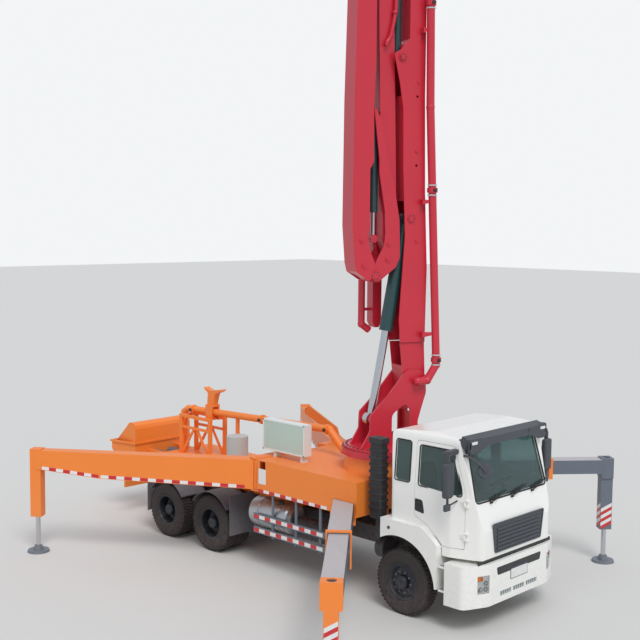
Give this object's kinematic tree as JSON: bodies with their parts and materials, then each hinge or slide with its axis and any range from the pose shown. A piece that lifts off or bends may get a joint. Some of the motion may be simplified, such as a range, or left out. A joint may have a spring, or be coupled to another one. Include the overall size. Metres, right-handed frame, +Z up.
{
  "type": "truck-mounted concrete pump",
  "caption": "Truck with a tall folding placing boom on a slewing turret, spread outriggers with jacks, and a concrete hopper at the rear.",
  "frame": {"origin": "on the ground at the middle of the whole machine's footprint box with outriggers spread", "axes": "+X towards the truck's front, +Y to its left, +Z up"},
  "size_m": [10.1207, 8.3764, 12.375],
  "materials": {
    "white_paint": "gloss",
    "orange_paint": "gloss",
    "red_paint": "gloss",
    "dark_paint": "satin",
    "slate_paint": "satin",
    "grey_paint": "satin",
    "rod_chrome": "polished",
    "iron": "matt",
    "black_plastic": "matt",
    "trim_plastic": "matt",
    "tyre": "matt",
    "glass": "clear"
  },
  "bodies": {
    "truck": {"chassis": "dark_paint", "axles": "iron", "engine": "iron", "bumper": "white_paint", "side_tanks": "dark_paint", "mudguards": "black_plastic", "side_guards": "white_paint", "air_intake": "black_plastic", "outrigger_frame": "orange_paint", "pedestal": "orange_paint", "rear_frame": "orange_paint", "hopper": "orange_paint", "pump_cylinders": "slate_paint", "boom_rest": "orange_paint", "deck_pipe": "orange_paint", "oil_cooler": "grey_paint", "deck_fittings": "grey_paint"},
    "cab": {"cab_shell": "white_paint", "cab_front": "trim_plastic", "cab_glass": "glass", "cab_interior": "trim_plastic"},
    "door_right": {"door_right": "white_paint", "door_glass_right": "glass"},
    "door_left": {"door_left": "white_paint", "door_glass_left": "glass"},
    "beam_outer_right": {"beam_outer_right": "slate_paint", "beam_collar_right": "orange_paint"},
    "beam_inner_right": {"beam_inner_right": "slate_paint", "jack_case_right": "orange_paint"},
    "beam_outer_left": {"beam_outer_left": "slate_paint", "beam_collar_left": "orange_paint"},
    "beam_inner_left": {"beam_inner_left": "slate_paint", "jack_case_left": "slate_paint"},
    "knuckle_right": {"knuckle_right": "iron"},
    "knuckle_left": {"knuckle_left": "iron"},
    "wheel_front_right": {"wheel_front_right": "tyre"},
    "wheel_front_left": {"wheel_front_left": "tyre"},
    "wheel_mid_right": {"wheel_mid_right": "tyre"},
    "wheel_mid_left": {"wheel_mid_left": "tyre"},
    "wheel_rear_right": {"wheel_rear_right": "tyre"},
    "wheel_rear_left": {"wheel_rear_left": "tyre"},
    "foot_front_right": {"foot_front_right": "rod_chrome"},
    "foot_front_left": {"foot_front_left": "rod_chrome"},
    "leg_right": {"leg_right": "orange_paint"},
    "foot_rear_right": {"foot_rear_right": "rod_chrome"},
    "leg_left": {"leg_left": "orange_paint"},
    "foot_rear_left": {"foot_rear_left": "rod_chrome"},
    "turret": {"turret": "red_paint"},
    "arm_1": {"arm_1": "red_paint"},
    "lift_barrel": {"lift_barrel": "red_paint"},
    "lift_rod": {"lift_rod": "rod_chrome"},
    "arm_2": {"arm_2": "red_paint"},
    "fold_rod_2": {"fold_rod_2": "rod_chrome"},
    "arm_3": {"arm_3": "red_paint"},
    "fold_rod_3": {"fold_rod_3": "rod_chrome"},
    "arm_4": {"arm_4": "red_paint"},
    "fold_rod_4": {"fold_rod_4": "rod_chrome"}
  },
  "joints": [
    {"name": "slew", "type": "hinge", "parent": "truck", "child": "turret", "pos_m": [2.085, 0.28, 2.29], "axis": [0, 0, 1], "range_deg": [-433, 297]},
    {"name": "lift", "type": "hinge", "parent": "turret", "child": "arm_1", "pos_m": [2.24233, 0.66942, 3.57], "axis": [0.9272, -0.3746, 0], "range_deg": [0, 85]},
    {"name": "lift_barrel_hinge", "type": "hinge", "parent": "arm_1", "child": "lift_barrel", "pos_m": [2.19738, 0.55816, 6.4], "axis": [-0.9272, 0.3746, 0], "range_deg": [-1, 7]},
    {"name": "lift_rod_slide", "type": "slide", "parent": "lift_barrel", "child": "lift_rod", "axis": [-0.0664, -0.1643, -0.9842], "range_m": [-1.34, 0.01]},
    {"name": "fold_2", "type": "hinge", "parent": "arm_1", "child": "arm_2", "pos_m": [2.0569, 0.21046, 12.2], "axis": [-0.9272, 0.3746, 0], "range_deg": [0, 180]},
    {"name": "fold_rod_2_slide", "type": "slide", "parent": "arm_1", "child": "fold_rod_2", "axis": [0, 0, 1], "range_m": [-0.01, 0.8]},
    {"name": "fold_3", "type": "hinge", "parent": "arm_2", "child": "arm_3", "pos_m": [1.95014, -0.05379, 5.42], "axis": [0.9272, -0.3746, 0], "range_deg": [0, 180]},
    {"name": "fold_rod_3_slide", "type": "slide", "parent": "arm_2", "child": "fold_rod_3", "axis": [0, 0, 1], "range_m": [-0.01, 0.37]},
    {"name": "fold_4", "type": "hinge", "parent": "arm_3", "child": "arm_4", "pos_m": [1.87522, -0.23922, 11.77], "axis": [-0.9272, 0.3746, 0], "range_deg": [0, 180]},
    {"name": "fold_rod_4_slide", "type": "slide", "parent": "arm_3", "child": "fold_rod_4", "axis": [0, 0, -1], "range_m": [-0.01, 0.33]},
    {"name": "cab_tilt", "type": "hinge", "parent": "truck", "child": "cab", "pos_m": [4.795, 0.28, 0.95], "axis": [0, 1, 0], "range_deg": [0, 50]},
    {"name": "door_right_hinge", "type": "hinge", "parent": "cab", "child": "door_right", "pos_m": [4.595, -0.786, 2], "axis": [0, 0, 1], "range_deg": [0, 70]},
    {"name": "door_left_hinge", "type": "hinge", "parent": "cab", "child": "door_left", "pos_m": [4.595, 1.346, 2], "axis": [0, 0, -1], "range_deg": [0, 70]},
    {"name": "steer_right", "type": "hinge", "parent": "truck", "child": "knuckle_right", "pos_m": [3.465, -0.6, 0.54], "axis": [0, 0, 1], "range_deg": [-35, 35]},
    {"name": "steer_left", "type": "hinge", "parent": "truck", "child": "knuckle_left", "pos_m": [3.465, 1.16, 0.54], "axis": [0, 0, 1], "range_deg": [-35, 35]},
    {"name": "wheel_front_right_spin", "type": "hinge", "parent": "knuckle_right", "child": "wheel_front_right", "pos_m": [3.465, -0.775, 0.54], "axis": [0, 1, 0], "continuous": true},
    {"name": "wheel_front_left_spin", "type": "hinge", "parent": "knuckle_left", "child": "wheel_front_left", "pos_m": [3.465, 1.335, 0.54], "axis": [0, 1, 0], "continuous": true},
    {"name": "wheel_mid_right_spin", "type": "hinge", "parent": "truck", "child": "wheel_mid_right", "pos_m": [-1.305, -0.66, 0.54], "axis": [0, 1, 0], "continuous": true},
    {"name": "wheel_mid_left_spin", "type": "hinge", "parent": "truck", "child": "wheel_mid_left", "pos_m": [-1.305, 1.22, 0.54], "axis": [0, 1, 0], "continuous": true},
    {"name": "wheel_rear_right_spin", "type": "hinge", "parent": "truck", "child": "wheel_rear_right", "pos_m": [-2.655, -0.66, 0.54], "axis": [0, 1, 0], "continuous": true},
    {"name": "wheel_rear_left_spin", "type": "hinge", "parent": "truck", "child": "wheel_rear_left", "pos_m": [-2.655, 1.22, 0.54], "axis": [0, 1, 0], "continuous": true},
    {"name": "beam_outer_right_slide", "type": "slide", "parent": "truck", "child": "beam_outer_right", "axis": [0.6561, -0.7547, 0], "range_m": [-1.5, 0]},
    {"name": "beam_inner_right_slide", "type": "slide", "parent": "beam_outer_right", "child": "beam_inner_right", "axis": [0.6561, -0.7547, 0], "range_m": [-2.04, 0]},
    {"name": "foot_front_right_slide", "type": "slide", "parent": "beam_inner_right", "child": "foot_front_right", "axis": [0, 0, -1], "range_m": [-0.45, 0]},
    {"name": "beam_outer_left_slide", "type": "slide", "parent": "truck", "child": "beam_outer_left", "axis": [0.6561, 0.7547, 0], "range_m": [-1.8, 0]},
    {"name": "beam_inner_left_slide", "type": "slide", "parent": "beam_outer_left", "child": "beam_inner_left", "axis": [0.6561, 0.7547, 0], "range_m": [-0.95, 0]},
    {"name": "foot_front_left_slide", "type": "slide", "parent": "beam_inner_left", "child": "foot_front_left", "axis": [0, 0, -1], "range_m": [-0.45, 0]},
    {"name": "leg_right_swing", "type": "hinge", "parent": "truck", "child": "leg_right", "pos_m": [-0.095, -0.795, 1.7], "axis": [0, 0, 1], "range_deg": [-36, 8]},
    {"name": "foot_rear_right_slide", "type": "slide", "parent": "leg_right", "child": "foot_rear_right", "axis": [0, 0, -1], "range_m": [-0.45, 0]},
    {"name": "leg_left_swing", "type": "hinge", "parent": "truck", "child": "leg_left", "pos_m": [-0.095, 1.355, 1.7], "axis": [0, 0, -1], "range_deg": [-36, 8]},
    {"name": "foot_rear_left_slide", "type": "slide", "parent": "leg_left", "child": "foot_rear_left", "axis": [0, 0, -1], "range_m": [-0.45, 0]}
  ],
  "couplings": [
    {"joint": "lift_barrel_hinge", "follows": "lift", "ratio": 0.06785},
    {"joint": "lift_rod_slide", "follows": "lift", "m_per_rad": -0.8959},
    {"joint": "fold_rod_2_slide", "follows": "fold_2", "m_per_rad": 0.248},
    {"joint": "fold_3", "follows": "fold_2", "ratio": 1},
    {"joint": "fold_rod_3_slide", "follows": "fold_2", "m_per_rad": 0.1146},
    {"joint": "fold_rod_4_slide", "follows": "fold_4", "m_per_rad": 0.1019},
    {"joint": "steer_left", "follows": "steer_right", "ratio": 1}
  ]
}
